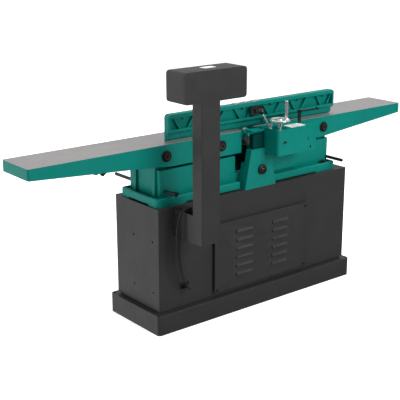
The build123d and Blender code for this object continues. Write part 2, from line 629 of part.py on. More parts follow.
with BuildPart() as motor_mount:
    plate = MOTOR_Z - 92
    span((-150, 150), (-110, 90), (plate - 8, plate))
    for x in ((-150, -142), (142, 150)):
        span(x, (-110, 90), (PLINTH[2] + SHEET, plate - 8))
    for x in ((-175, -142), (142, 175)):
        span(x, (-150, 150), (PLINTH[2] + SHEET, PLINTH[2] + SHEET + 6))
save(motor_mount, "motor_mount")

# belt guard: a tapered cover on the cabinet top behind the cutterhead
GUARD_CENTRE = -5.5
GUARD_REAR = 157.0
GUARD_FRONT = 124.5
GUARD_FOOT = 91.5                  # half width at the cabinet
GUARD_SHOULDER = (-68.0, 52.0)     # x of the left and right shoulders
GUARD_LOW = 690.0                  # top of the cover under the fence bracket
GUARD_TOP = 723.0                  # top of the cover beside the fence bracket
CROWN_X = (-29.5, 36.0)            # the narrow crown round the cutterhead pulley
CROWN_TOP = 788.0
GUARD_SHEET = 2.0
KNOB_X = -10.0
KNOB_Z = 628.0


def guard_outline(inset):
    """The tapered cover as (x, z) points, shrunk by inset and open at the bottom."""
    foot = GUARD_FOOT - inset
    floor = CABINET[2] - (1 if inset else 0)
    step = CROWN_X[0] + inset
    right = [(GUARD_CENTRE + foot, floor), (GUARD_SHOULDER[1] - inset, GUARD_TOP - inset)]
    left = [(GUARD_SHOULDER[0] + inset, GUARD_LOW - inset), (GUARD_CENTRE - foot, floor)]
    return right + [(step, GUARD_TOP - inset), (step, GUARD_LOW - inset)] + left


with BuildPart() as belt_guard:
    side_profile(guard_outline(0), (GUARD_FRONT, GUARD_REAR))
    span(CROWN_X, (GUARD_FRONT, GUARD_REAR - 7), (GUARD_TOP - GUARD_SHEET, CROWN_TOP))
    side_profile(guard_outline(GUARD_SHEET), (GUARD_FRONT - 1, GUARD_REAR - GUARD_SHEET), Mode.SUBTRACT)
    inner = (CROWN_X[0] + GUARD_SHEET, CROWN_X[1] - GUARD_SHEET)
    hollow = (GUARD_TOP - 11, CROWN_TOP - GUARD_SHEET)
    span(inner, (GUARD_FRONT - 1, GUARD_REAR - 9), hollow, Mode.SUBTRACT)
    # side wing that closes the gap to the base
    wing = [(76, CABINET[2]), (86, CABINET[2]), (62, 660), (56, 660)]
    side_profile(wing, (103, GUARD_FRONT))
    bar_y(KNOB_X, (GUARD_REAR - 4, GUARD_REAR + 1), KNOB_Z, 5, Mode.SUBTRACT)
save(belt_guard, "belt_guard")

with BuildPart() as belt_guard_knob:
    bar_y(KNOB_X, (GUARD_REAR - 8, GUARD_REAR), KNOB_Z, 4.7)
    bar_y(KNOB_X, (GUARD_REAR, GUARD_REAR + 13), KNOB_Z, 22)
    fillet(belt_guard_knob.edges().filter_by(GeomType.CIRCLE).sort_by(Axis.Y)[-1], 5)
    bar_y(KNOB_X, (GUARD_REAR + 11, GUARD_REAR + 14), KNOB_Z, 10, Mode.SUBTRACT)
    bar_y(KNOB_X, (GUARD_REAR + 10, GUARD_REAR + 14.5), KNOB_Z, 6.5)
save(belt_guard_knob, "belt_guard_knob")

# ---------------------------------------------------------------- fence
ROCKER_X = (-215.0, -95.0)


def fence_point(depth, height):
    """(y, z) of a point given behind the working face and above the fence's lower edge."""
    return FENCE_FACE + depth, FENCE_BOTTOM + height


RIM_TOP = 17.0                     # height of the upper rim
RIM = 8.0                          # height of the lower rim
RIM_LOW = 44.0                     # underside of the lower rim above the fence's edge
CELL_PITCH = 166.0                 # spacing of the V-shaped rib pairs
CELLS = 6
FIRST_CELL = 366.0
with BuildPart() as fence:
    plate = [(0, 0), (0, FENCE_HEIGHT), (FENCE_DEPTH, FENCE_HEIGHT), (FENCE_DEPTH, RIM_LOW)]
    plate += [(FENCE_PLATE, 28), (FENCE_PLATE, FENCE_PLATE)]
    end_profile([fence_point(*p) for p in plate], FENCE_X)
    fillet(fence.edges().filter_by(Axis.Y).group_by(Axis.Z)[-1], 16)
    fillet(fence.edges().filter_by(Axis.X).group_by(Axis.Z)[-1].sort_by(Axis.Y)[-1], 4)
    low, high = RIM_LOW + RIM, FENCE_HEIGHT - RIM_TOP
    pocket = [(FENCE_PLATE, low), (FENCE_DEPTH + 1, low), (FENCE_DEPTH + 1, high), (FENCE_PLATE, high)]
    end_profile([fence_point(*p) for p in pocket], (FENCE_X[0] + 12, FENCE_X[1] - 12), Mode.SUBTRACT)
    # slanting ribs in pairs, with a small triangular pad under the top rim between each pair
    low_z, high_z = FENCE_BOTTOM + low - 1, FENCE_BOTTOM + high + 1
    rear = (FENCE_FACE + FENCE_PLATE - 1, FENCE_FACE + FENCE_DEPTH - 7)
    for cell in range(CELLS):
        centre = FIRST_CELL - cell * CELL_PITCH
        for side in (-1, 1):
            foot = centre + side * 20
            head = centre + side * min(55, centre - FENCE_X[0] - 14)
            rib = [(foot - 3.5, low_z), (foot + 3.5, low_z), (head + 3.5, high_z), (head - 3.5, high_z)]
            side_profile(rib, rear)
        side_profile([(centre - 10, high_z), (centre + 10, high_z), (centre, high_z - 14)], rear)
    # rocker lugs, concentric with the fence's lower front edge
    for x in ROCKER_X:
        with BuildSketch(Plane.YZ.offset(x - 15)):
            with BuildLine():
                start = fence_point(FENCE_PLATE - 1, 11.4)
                a = fence_point(ROCKER * cos(radians(46)), ROCKER * sin(radians(46)))
                mid = fence_point(ROCKER * cos(radians(56)), ROCKER * sin(radians(56)))
                b = fence_point(ROCKER * cos(radians(66)), ROCKER * sin(radians(66)))
                Line(start, a)
                ThreePointArc(a, mid, b)
                Line(b, fence_point(FENCE_PLATE - 1, 31))
                Line(fence_point(FENCE_PLATE - 1, 31), start)
            make_face()
        extrude(amount=30)
save(fence, "fence")

with BuildPart() as tilt_lock_block:
    y = (FENCE_FACE + FENCE_DEPTH, FENCE_FACE + FENCE_DEPTH + 8)
    span((-58, 8), y, (FENCE_BOTTOM + 62, FENCE_BOTTOM + 98))
    fillet(tilt_lock_block.edges().filter_by(Axis.Y), 6)
    bar_y(-25, (y[1], y[1] + 8), FENCE_BOTTOM + 80, 11)
    bar_y(-48, (y[1], y[1] + 6), FENCE_BOTTOM + 78, 5)
save(tilt_lock_block, "tilt_lock_block")

with BuildPart() as fence_bracket:
    rear = CARRIAGE_REAR
    span(CARRIAGE_X, (BASE_Y[1], rear), BRACKET_Z)
    fillet(vertical_edges(fence_bracket).group_by(Axis.Y)[-1], 14)
    across = (CARRIAGE_X[0] + 10, CARRIAGE_X[1] - 10)
    span(across, (BASE_Y[1] + 12, rear - 10), (BRACKET_Z[0] - 1, BRACKET_Z[1] - 14), Mode.SUBTRACT)
    # clearance to the table's rear skirt
    across = (CARRIAGE_X[0] - 1, CARRIAGE_X[1] + 1)
    span(across, (BASE_Y[1] - 1, BASE_Y[1] + 1), (BASE_TOP, BRACKET_Z[1] + 1), Mode.SUBTRACT)
    span((-262, -104), (BASE_Y[1], BASE_Y[1] + 14), (592, BRACKET_Z[0] + 4))
    # arm over the cutterhead pulley, with a sloping cheek behind the fence
    span((CARRIAGE_X[1] - 3, 60), (104, 140), (790, 799))
    end_profile([(98, 808), (104, 808), (142, 790), (142, 783), (136, 783), (98, 803)], (52, 60))
    for x in (-8, 22):
        bar_z(x, 124, (789, 801), 4.5, Mode.SUBTRACT)
    # recesses in the rear face
    span((-80, -58), (rear - 4, rear + 1), (747, 751), Mode.SUBTRACT)
    bar_y(-212, (rear - 4, rear + 1), 748, 3, Mode.SUBTRACT)
    bar_y(-226, (rear - 4, rear + 1), 709, 4, Mode.SUBTRACT)
    slot_x = (SPINDLE[0] - 10, SPINDLE[0] + 10)
    span(slot_x, (105, SPINDLE[1] + 11), (BRACKET_Z[1] - 20, BRACKET_Z[1] + 1), Mode.SUBTRACT)
    for x, z in BRACKET_BOLTS:
        bar_y(x, (BASE_Y[1] - 1, BRACKET_FOOT + 1), z, BOLT_HOLE, Mode.SUBTRACT)
save(fence_bracket, "fence_bracket")

PITCH = pi * MODULE
PINION_RADIUS = MODULE * PINION_TEETH / 2
RACK_Z = (768.0, 780.0)
RACK_TEETH = 34
ROOT_HALF = 1.05                   # half widths of a rack tooth at its root and tip
TIP_HALF = 0.25

with BuildPart() as fence_rack:
    line = SPINDLE[0] + PINION_RADIUS          # pitch line of the rack
    root, tip, back = line + 1.35, line - 0.85, line + 9
    start = SPINDLE[1] - 28.5 * PITCH          # puts a rack tooth opposite the pinion's gap
    end = start + (RACK_TEETH + 1) * PITCH
    outline = [(back, start), (root, start)]
    for k in range(RACK_TEETH):
        y = start + (k + 0.5) * PITCH
        outline += [(root, y - ROOT_HALF), (tip, y - TIP_HALF), (tip, y + TIP_HALF), (root, y + ROOT_HALF)]
    outline += [(root, end), (back, end)]
    plan_profile(outline, RACK_Z)
    span((line + 5, back), (start + 5, end - 25), (RACK_Z[1], BRACKET_Z[1] - 14))
save(fence_rack, "fence_rack")

with BuildPart() as pinion_spindle:
    x, y = SPINDLE
    bar_z(x, y, (RACK_Z[0] - 1, RACK_Z[1] + 1), PINION_RADIUS - 1.4)
    for k in range(PINION_TEETH):
        angle = 360 * (k + 0.5) / PINION_TEETH
        outward = (cos(radians(angle)), sin(radians(angle)), 0)
        with BuildSketch(Plane(origin=(x, y, RACK_Z[0]), x_dir=outward, z_dir=(0, 0, 1))):
            with BuildLine():
                root, crest = PINION_RADIUS - 1.6, PINION_RADIUS + 0.8
                flank = [(root, -ROOT_HALF), (crest, -TIP_HALF), (crest, TIP_HALF), (root, ROOT_HALF)]
                Polyline(*flank, close=True)
            make_face()
        extrude(amount=RACK_Z[1] - RACK_Z[0])
    bar_z(x, y, (RACK_Z[1], 849), SPINDLE_RADIUS)
    bar_z(x, y, (813, 838), 9)
save(pinion_spindle, "pinion_spindle")

GRIP_OFFSET = 38.0                 # the grip stands this far from the handwheel's axis
with BuildPart() as fence_handwheel:
    x, y = SPINDLE
    with Locations((x, y, 848)):
        Torus(39, 6)
    bar_z(x, y, (843, 851), 36)
    bar_z(x, y, (849, 856), 12)
    bar_z(x, y, (838.2, 849), SPINDLE_RADIUS + 0.02, Mode.SUBTRACT)
    bar_z(x - GRIP_OFFSET, y, (846, 855), 8)
    bar_z(x - GRIP_OFFSET, y, (846, 858), 3.5, Mode.SUBTRACT)
save(fence_handwheel, "fence_handwheel")

with BuildPart() as handwheel_grip:
    x, y = SPINDLE[0] - GRIP_OFFSET, SPINDLE[1]
    bar_z(x, y, (846.5, 860), 3.4)
    bar_z(x, y, (855.2, 930), 7.5)
    fillet(handwheel_grip.edges().filter_by(GeomType.CIRCLE).sort_by(Axis.Z)[-1], 3)
save(handwheel_grip, "handwheel_grip")

CLAMP = (-44.0, 170.0)             # x and y of the tilt lever's stud
POST = (-214.0, 178.0)             # x and y of the slide lock's post
STUD = 5.0                         # radius of both studs in the carriage
with BuildPart() as fence_carriage:
    span(CARRIAGE_X, (FENCE_FACE + 30, CARRIAGE_REAR), CARRIAGE_Z)
    fillet(vertical_edges(fence_carriage).group_by(Axis.Y)[-1], 14)
    bar_x((CARRIAGE_X[0] - 1, CARRIAGE_X[1] + 1), FENCE_FACE, FENCE_BOTTOM, ROCKER + 0.3, Mode.SUBTRACT)
    # the front is stepped down so that the tilted fence clears it
    across = (CARRIAGE_X[0] - 1, CARRIAGE_X[1] + 1)
    span(across, (FENCE_FACE, 122), (808, CARRIAGE_Z[1] + 1), Mode.SUBTRACT)
    through = (CARRIAGE_Z[0] - 1, CARRIAGE_Z[1] + 1)
    bar_z(*SPINDLE, through, SPINDLE_RADIUS + RUNNING, Mode.SUBTRACT)
    bar_z(*CLAMP, through, STUD + 0.1, Mode.SUBTRACT)
    bar_z(*POST, through, STUD + 0.1, Mode.SUBTRACT)
save(fence_carriage, "fence_carriage")

with BuildPart() as rear_cutter_guard:
    span((-29.9, 48), (FENCE_FACE + 49, 158), (802, 806))
    fillet(vertical_edges(rear_cutter_guard).group_by(Axis.Y)[-1], 8)
    span((-54, -20), (124, 148), (CARRIAGE_Z[1], CARRIAGE_Z[1] + 3))
    span((-29.9, -20), (124, 148), (805, CARRIAGE_Z[1] + 2))
save(rear_cutter_guard, "rear_cutter_guard")

KNOB_END = (28.0, 190.0, 896.0)
with BuildPart() as tilt_lever:
    x, y = CLAMP
    bar_z(x, y, CARRIAGE_Z, STUD)
    bar_z(x, y, (CARRIAGE_Z[1], 830), 10)
    fillet(tilt_lever.edges().filter_by(GeomType.CIRCLE).sort_by(Axis.Z)[-1], 3)
    with BuildLine() as lever_line:
        Polyline((x, y, 824), (x + 14, y + 2, 830), KNOB_END)
    with BuildSketch(Plane(origin=(x, y, 824), z_dir=lever_line.line % 0)):
        Circle(4)
    sweep(transition=Transition.ROUND)
save(tilt_lever, "tilt_lever")

with BuildPart() as tilt_lever_knob:
    with Locations(KNOB_END):
        Sphere(13)
    add(tilt_lever.part, mode=Mode.SUBTRACT)
save(tilt_lever_knob, "tilt_lever_knob")

with BuildPart() as slide_lock_lever:
    x, y = POST
    bar_z(x, y, CARRIAGE_Z, STUD)
    bar_z(x, y, (CARRIAGE_Z[1], 858), 7)
    bar_z(x, y, (858, 873), 9.5)
    bar_x((x - 106, x), y, 866, 3.5)
    bar_x((x - 116, x - 104), y, 866, 6)
save(slide_lock_lever, "slide_lock_lever")

# ---------------------------------------------------------------- front cutter guard
def guard_edge():
    """Outline of the swinging guard: (degrees, radius) about its pivot, as a smooth closed curve."""
    shape = ((80, 34), (88, 96), (97, 150), (106, 172), (116, 180), (128, 182))
    shape += ((140, 172), (148, 150), (158, 104), (180, 48))
    px, py = GUARD_PIVOT
    return [(px + r * cos(radians(a)), py + r * sin(radians(a))) for a, r in shape]


with BuildPart() as cutter_guard:
    with BuildSketch(Plane.XY.offset(806)):
        with BuildLine():
            edge = Spline(*guard_edge())
            ThreePointArc(edge @ 1, (GUARD_PIVOT[0] + 14, GUARD_PIVOT[1] - 20), edge @ 0)
        make_face()
    extrude(amount=7)
    bar_z(*GUARD_PIVOT, (803, 826), 16)
    bar_z(*GUARD_PIVOT, (800, 818), 8 + RUNNING, Mode.SUBTRACT)
save(cutter_guard, "cutter_guard")

with BuildPart() as guard_post:
    bar_z(*GUARD_PIVOT, (700, 817), 8)
    bar_z(*GUARD_PIVOT, (700, 802), 13)
    span((60, 110), (BASE_Y[0] - 14, BASE_Y[0]), (640, 700))
    span((80, 110), (BASE_Y[0] - 14, BASE_Y[0] + 12), (696, 712))
save(guard_post, "guard_post")

# ---------------------------------------------------------------- control column
with BuildPart() as column:
    span(COLUMN_X, COLUMN_Y, COLUMN_Z)
    fillet(vertical_edges(column), 3)
    inner_x = (COLUMN_X[0] + SHEET, COLUMN_X[1] - SHEET)
    inner_y = (COLUMN_Y[0] + SHEET, COLUMN_Y[1] - SHEET)
    span(inner_x, inner_y, (COLUMN_Z[0] + SHEET, COLUMN_Z[1] + 1), Mode.SUBTRACT)
    bar_y(447, (COLUMN_Y[0] - 1, COLUMN_Y[0] + 5), 562, 14, Mode.SUBTRACT)
save(column, "column")

with BuildPart() as column_bracket:
    x, y, z = (415, 479), (CABINET[1], COLUMN_Y[0]), (420, 540)
    span(x, y, z)
    span((x[0] + 3, x[1] - 3), (y[0] - 1, y[1] + 1), (z[0] + 3, z[1] + 1), Mode.SUBTRACT)
    for face in ((y[0], y[0] + 3), (y[1] - 3, y[1])):
        span((x[0] + 2, x[1] - 2), face, (z[0] + 2, z[1]))
save(column_bracket, "column_bracket")

with BuildPart() as control_box:
    span(BOX_X, (BOX_Y[0], BOX_Y[1] - 10), BOX_Z)
    fillet(control_box.edges().filter_by(Axis.Y), 14)
    inside = ((BOX_X[0] + 3, BOX_X[1] - 3), (BOX_Y[0] + 3, BOX_Y[1]), (BOX_Z[0] + 14, BOX_Z[1] - 14))
    span(*inside, Mode.SUBTRACT)
    wire_way = ((COLUMN_X[0] + 6, COLUMN_X[1] - 6), (COLUMN_Y[0] + 6, COLUMN_Y[1] - 14))
    span(*wire_way, (BOX_Z[0] - 1, BOX_Z[0] + 20), Mode.SUBTRACT)
    for x in (STOP_X, START_X):
        bar_y(x, (BOX_Y[0] - 1, BOX_Y[0] + 5), BUTTON_Z, BUTTON_RADIUS + 0.5, Mode.SUBTRACT)
save(control_box, "control_box")

with BuildPart() as control_box_cover:
    span(BOX_X, (BOX_Y[1] - 9, BOX_Y[1]), BOX_Z)
    fillet(control_box_cover.edges().filter_by(Axis.Y), 14)
    pan = ((BOX_X[0] + 16, BOX_X[1] - 16), (BOX_Y[1] - 10, BOX_Y[1] - 3), (BOX_Z[0] + 16, BOX_Z[1] - 16))
    span(*pan, Mode.SUBTRACT)
save(control_box_cover, "control_box_cover")

with BuildPart() as start_button:
    bar_y(START_X, (BOX_Y[0] - 8, BOX_Y[0] + 16), BUTTON_Z, BUTTON_RADIUS)
    fillet(start_button.edges().filter_by(GeomType.CIRCLE).sort_by(Axis.Y)[0], 2)
save(start_button, "start_button")

with BuildPart() as stop_button:
    bar_y(STOP_X, (BOX_Y[0] - 16, BOX_Y[0] + 16), BUTTON_Z, BUTTON_RADIUS)
    bar_y(STOP_X, (BOX_Y[0] - 30, BOX_Y[0] - 14), BUTTON_Z, MUSHROOM_RADIUS)
    fillet(stop_button.edges().filter_by(GeomType.CIRCLE).sort_by(Axis.Y)[0], 6)
save(stop_button, "stop_button")

with BuildPart() as cable_entry_plate:
    x, z = CABLE_ENTRY
    span((x - 22, x + 22), (CABINET[1], CABINET[1] + 2), (z - 15, z + 15))
    fillet(cable_entry_plate.edges().filter_by(Axis.Y), 4)
    for dx in (-8, 8):
        bar_y(x + dx, (CABINET[1] + 2, CABINET[1] + 12), z, 7)
        bar_y(x + dx, (CABINET[1] - 1, CABINET[1] + 13), z, 4.6, Mode.SUBTRACT)
    for dx in (-17, 17):
        for dz in (-10, 10):
            bar_y(x + dx, (CABINET[1] + 2, CABINET[1] + 4), z + dz, 2.4)
save(cable_entry_plate, "cable_entry_plate")


def cable(points, label):
    """A round cable along a smooth path that starts at the column and ends in the entry plate."""
    with BuildPart() as piece:
        with BuildLine() as path:
            Spline(*points)
        with BuildSketch(Plane(origin=path.line @ 0, z_dir=path.line % 0)):
            Circle(4.2)
        sweep()
    save(piece, label)


x, z = CABLE_ENTRY
# each lead leaves the column, droops behind the cabinet and turns into the entry plate
motor_run = [(442, 288, 562), (443, 262, 563), (455, 226, 553), (472, 204, 500), (482, 196, 410)]
motor_run += [(470, 190, 300), (446, 186, 225), (x + 8, 176, z + 2), (x + 8, 164, z)]
cable(motor_run, "motor_lead")
supply_run = [(452, 288, 562), (454, 264, 566), (476, 242, 563), (500, 222, 515), (508, 214, 420)]
supply_run += [(498, 208, 320), (462, 206, 230), (x - 5, 190, z - 6), (x - 8, 176, z - 1), (x - 8, 164, z)]
cable(supply_run, "supply_lead")
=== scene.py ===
import json
from math import cos, pi, radians, sin

import bmesh
import bpy
from mathutils import Matrix, Vector


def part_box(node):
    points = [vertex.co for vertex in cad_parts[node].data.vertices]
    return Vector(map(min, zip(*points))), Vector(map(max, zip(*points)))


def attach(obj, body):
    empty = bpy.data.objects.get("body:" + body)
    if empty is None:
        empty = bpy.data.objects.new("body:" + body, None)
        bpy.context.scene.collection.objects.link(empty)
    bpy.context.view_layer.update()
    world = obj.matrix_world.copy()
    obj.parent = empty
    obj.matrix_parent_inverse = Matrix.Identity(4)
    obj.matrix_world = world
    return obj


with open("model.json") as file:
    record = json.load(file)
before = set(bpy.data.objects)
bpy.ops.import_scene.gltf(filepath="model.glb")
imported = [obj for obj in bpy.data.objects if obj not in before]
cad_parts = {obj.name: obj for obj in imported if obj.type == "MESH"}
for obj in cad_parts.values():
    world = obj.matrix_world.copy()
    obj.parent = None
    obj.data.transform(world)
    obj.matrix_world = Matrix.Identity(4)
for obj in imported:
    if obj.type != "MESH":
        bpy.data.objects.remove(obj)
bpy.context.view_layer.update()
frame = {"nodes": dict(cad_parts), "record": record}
nodes = frame["nodes"]
MM = 0.001                         # metres in a millimetre


# ------------------------------------------------------------------ node material helpers
class Shader:
    """A small wrapper that builds a node material around one Principled BSDF."""

    def __init__(self, name):
        self.mat = bpy.data.materials.new(name)
        self.mat.use_nodes = True
        self.tree = self.mat.node_tree
        self.bsdf = self.tree.nodes["Principled BSDF"]
        self.coord = self.tree.nodes.new("ShaderNodeTexCoord").outputs["Object"]

    def node(self, kind, **values):
        """Adds a shader node and sets its properties."""
        n = self.tree.nodes.new(kind)
        for key, value in values.items():
            if hasattr(n, key):
                setattr(n, key, value)
            else:
                n.inputs[key.replace("_", " ")].default_value = value
        return n

    def link(self, a, b):
        self.tree.links.new(a, b)

    def noise(self, scale, detail=4.0, rough=0.55, stretch=(1, 1, 1)):
        """Noise in object space, stretched along the axes."""
        m = self.node("ShaderNodeMapping")
        m.inputs["Scale"].default_value = stretch
        self.link(self.coord, m.inputs["Vector"])
        n = self.node("ShaderNodeTexNoise")
        n.inputs["Scale"].default_value = scale
        n.inputs["Detail"].default_value = detail
        n.inputs["Roughness"].default_value = rough
        self.link(m.outputs["Vector"], n.inputs["Vector"])
        return n.outputs["Fac"]

    def ramp(self, fac, stops):
        r = self.node("ShaderNodeValToRGB")
        while len(r.color_ramp.elements) < len(stops):
            r.color_ramp.elements.new(0.5)
        for e, (pos, col) in zip(r.color_ramp.elements, stops):
            e.position = pos
            e.color = (*col, 1) if len(col) == 3 else col
        self.link(fac, r.inputs["Fac"])
        return r.outputs["Color"]

    def grey(self, fac, low, high, a=0.3, b=0.7):
        return self.ramp(fac, [(a, (low, low, low)), (b, (high, high, high))])

    def mix(self, fac, a, b, blend="MIX"):
        m = self.node("ShaderNodeMix")
        m.data_type = "RGBA"
        m.blend_type = blend
        for value, socket in ((fac, m.inputs["Factor"]), (a, m.inputs["A"]), (b, m.inputs["B"])):
            self.put(value, socket, m)
        return m.outputs["Result"]

    def put(self, value, socket, m=None):
        if m is not None and socket.name in ("Factor", "A", "B"):
            index = {"Factor": 0, "A": 6, "B": 7}[socket.name]
            socket = m.inputs[index]
        if hasattr(value, "is_linked"):
            self.link(value, socket)
        elif isinstance(value, (tuple, list)):
            socket.default_value = (*value, 1)[:4]
        else:
            socket.default_value = value

    def edge_wear(self, radius=0.0015, low=0.02, high=0.18):
        """White near sharp edges, from the difference of the bevelled and plain normals."""
        bevel = self.node("ShaderNodeBevel", samples=6)
        bevel.inputs["Radius"].default_value = radius
        geo = self.node("ShaderNodeNewGeometry")
        dot = self.node("ShaderNodeVectorMath", operation="DOT_PRODUCT")
        self.link(bevel.outputs["Normal"], dot.inputs[0])
        self.link(geo.outputs["Normal"], dot.inputs[1])
        inv = self.node("ShaderNodeMath", operation="SUBTRACT")
        inv.inputs[0].default_value = 1.0
        self.link(dot.outputs["Value"], inv.inputs[1])
        return self.grey(inv.outputs[0], 0, 1, low, high)

    def times(self, a, b):
        m = self.node("ShaderNodeMath", operation="MULTIPLY")
        for value, socket in ((a, m.inputs[0]), (b, m.inputs[1])):
            if hasattr(value, "is_linked"):
                self.link(value, socket)
            else:
                socket.default_value = value
        return m.outputs[0]

    def bump(self, fac, strength, distance, normal=None):
        b = self.node("ShaderNodeBump")
        b.inputs["Strength"].default_value = strength
        b.inputs["Distance"].default_value = distance
        self.link(fac, b.inputs["Height"])
        if normal is not None:
            self.link(normal, b.inputs["Normal"])
        return b.outputs["Normal"]

    def set(self, **values):
        names = {"color": "Base Color", "rough": "Roughness", "metal": "Metallic", "normal": "Normal",
                 "coat": "Coat Weight", "coat_rough": "Coat Roughness", "spec": "Specular IOR Level",
                 "aniso": "Anisotropic"}
        for key, value in values.items():
            self.put(value, self.bsdf.inputs[names[key]])
        return self


def painted(name, base, dark, rough, coat, peel, spec=0.3, wear_color=(0.16, 0.17, 0.17),
            wear=0.35, grain=900):
    """Sprayed paint: mottled colour, orange peel and rubbed edges."""
    s = Shader(name)
    tint = s.mix(s.noise(5, 5), dark, base)
    fine = s.mix(s.times(s.noise(60, 3), 0.16), tint, tuple(min(1, c * 1.5 + 0.01) for c in base))
    worn = s.times(s.times(s.edge_wear(), s.grey(s.noise(45, 5), 0, 1, 0.45, 0.62)), wear)
    s.set(color=s.mix(worn, fine, wear_color), spec=spec)
    s.set(rough=s.grey(s.noise(14, 5), rough - 0.06, rough + 0.1), coat=coat, coat_rough=0.12)
    s.set(normal=s.bump(s.noise(grain, 2), peel, 0.0004, s.bump(s.noise(18, 3), 0.05, 0.002)))
    return s.mat


def metal(name, base, dark, rough, stretch=(1, 1, 1), scale=300, bump=0.1, metallic=1.0, spots=0.0):
    """Bare metal with directional grinding marks, smudges and faint staining."""
    s = Shader(name)
    lines = s.noise(scale, 3, 0.6, stretch)
    col = s.mix(s.grey(lines, 0, 1, 0.35, 0.65), dark, base)
    stain = s.times(s.grey(s.noise(9, 6, 0.65), 0, 1, 0.5, 0.75), spots)
    col = s.mix(stain, col, tuple(c * 0.55 for c in base))
    edge = s.times(s.edge_wear(0.001), 0.5)
    s.set(color=s.mix(edge, col, tuple(min(1, c * 1.35) for c in base)), metal=metallic)
    s.set(rough=s.grey(s.noise(20, 5), max(0.03, rough - 0.07), rough + 0.1))
    s.set(normal=s.bump(lines, bump, 0.0002))
    return s.mat


def plastic(name, base, rough, grain=700, peel=0.08):
    """Moulded plastic or rubber with a fine grain, scuffs and slight colour drift."""
    s = Shader(name)
    lighter = tuple(min(1, c * 1.6 + 0.015) for c in base)
    scuff = s.times(s.grey(s.noise(35, 6, 0.7), 0, 1, 0.52, 0.7), 0.35)
    s.set(color=s.mix(scuff, base, lighter), rough=s.grey(s.noise(25, 4), rough - 0.05, rough + 0.12))
    s.set(normal=s.bump(s.noise(grain, 2), peel, 0.0003))
    return s.mat


def two_sided(name, paint, ground, axis, low, sign=1.0):
    """Paint everywhere except the ground faces: those beyond low along axis that face along it."""
    s = Shader(name)
    out = s.tree.nodes["Material Output"]
    s.tree.nodes.remove(s.bsdf)
    groups = []
    for source in (paint, ground):
        groups.append(copy_nodes(source, s.tree))
    geo = s.node("ShaderNodeNewGeometry")
    split_n = s.node("ShaderNodeSeparateXYZ")
    split_p = s.node("ShaderNodeSeparateXYZ")
    s.link(geo.outputs["True Normal"], split_n.inputs[0])
    s.link(s.coord, split_p.inputs[0])
    facing = s.node("ShaderNodeMath", operation="GREATER_THAN")
    signed = s.times(split_n.outputs[axis], sign)
    s.link(signed, facing.inputs[0])
    facing.inputs[1].default_value = 0.8
    beyond = s.node("ShaderNodeMath", operation="GREATER_THAN")
    s.link(s.times(split_p.outputs[axis], sign), beyond.inputs[0])
    beyond.inputs[1].default_value = low
    mix = s.node("ShaderNodeMixShader")
    s.link(s.times(facing.outputs[0], beyond.outputs[0]), mix.inputs[0])
    s.link(groups[0], mix.inputs[1])
    s.link(groups[1], mix.inputs[2])
    s.link(mix.outputs[0], out.inputs["Surface"])
    return s.mat


def by_height(name, lower, upper, level):
    """One material below the level and another above it."""
    s = Shader(name)
    out = s.tree.nodes["Material Output"]
    s.tree.nodes.remove(s.bsdf)
    groups = [copy_nodes(source, s.tree) for source in (lower, upper)]
    split = s.node("ShaderNodeSeparateXYZ")
    s.link(s.coord, split.inputs[0])
    above = s.node("ShaderNodeMath", operation="GREATER_THAN")
    s.link(split.outputs["Z"], above.inputs[0])
    above.inputs[1].default_value = level
    mix = s.node("ShaderNodeMixShader")
    for source, socket in zip((above.outputs[0], *groups), mix.inputs):
        s.link(source, socket)
    s.link(mix.outputs[0], out.inputs["Surface"])
    return s.mat


def copy_nodes(source, tree):
    """Copies a material's nodes into another tree and returns the copied BSDF output."""
    made = {}
    for old in source.node_tree.nodes:
        if old.bl_idname == "ShaderNodeOutputMaterial":
            continue
        new = tree.nodes.new(old.bl_idname)
        for prop in ("operation", "data_type", "blend_type", "samples"):
            if hasattr(old, prop):
                setattr(new, prop, getattr(old, prop))
        if old.bl_idname == "ShaderNodeValToRGB":
            while len(new.color_ramp.elements) < len(old.color_ramp.elements):
                new.color_ramp.elements.new(0.5)
            for a, b in zip(new.color_ramp.elements, old.color_ramp.elements):
                a.position, a.color = b.position, b.color
        for i, socket in enumerate(old.inputs):
            if hasattr(socket, "default_value"):
                new.inputs[i].default_value = socket.default_value
        made[old] = new
    for link in source.node_tree.links:
        if link.to_node in made and link.from_node in made:
            a = list(link.from_node.outputs).index(link.from_socket)
            b = list(link.to_node.inputs).index(link.to_socket)
            tree.links.new(made[link.from_node].outputs[a], made[link.to_node].inputs[b])
    bsdf = next(n for o, n in made.items() if o.bl_idname == "ShaderNodeBsdfPrincipled")
    return bsdf.outputs[0]


# ------------------------------------------------------------------ materials
GREEN = (0.0, 0.185, 0.152)
GREEN_DARK = (0.0, 0.140, 0.116)
green = painted("green_paint", GREEN, GREEN_DARK, 0.34, 0.1, 0.06, 0.14, (0.03, 0.25, 0.21), grain=500)
powder = painted("black_powder_coat", (0.030, 0.0295, 0.0295), (0.025, 0.0245, 0.0245),
                 0.42, 0.1, 0.12, 0.35, wear=0.1)
ground_iron = metal("ground_iron", (0.52, 0.503, 0.503), (0.42, 0.407, 0.407),
                    0.46, (1, 22, 1), 130, 0.05, 0.7, 0.15)
steel = metal("turned_steel", (0.62, 0.62, 0.63), (0.48, 0.48, 0.49), 0.3, (1, 9, 1), 260, 0.08, 0.85)
oxide = metal("black_oxide_steel", (0.05, 0.05, 0.054), (0.028, 0.028, 0.03),
              0.36, (1, 1, 1), 240, 0.12, 0.75, 0.2)
chrome = metal("chrome", (0.86, 0.86, 0.87), (0.78, 0.78, 0.80), 0.16, (1, 1, 4), 90, 0.015, 0.8)
carbide = metal("carbide", (0.30, 0.30, 0.31), (0.2, 0.2, 0.21), 0.24, (5, 1, 1), 500, 0.1)
zinc = metal("zinc_plate", (0.62, 0.61, 0.57), (0.45, 0.45, 0.42), 0.34, (1, 1, 1), 60, 0.05, 1.0, 0.3)
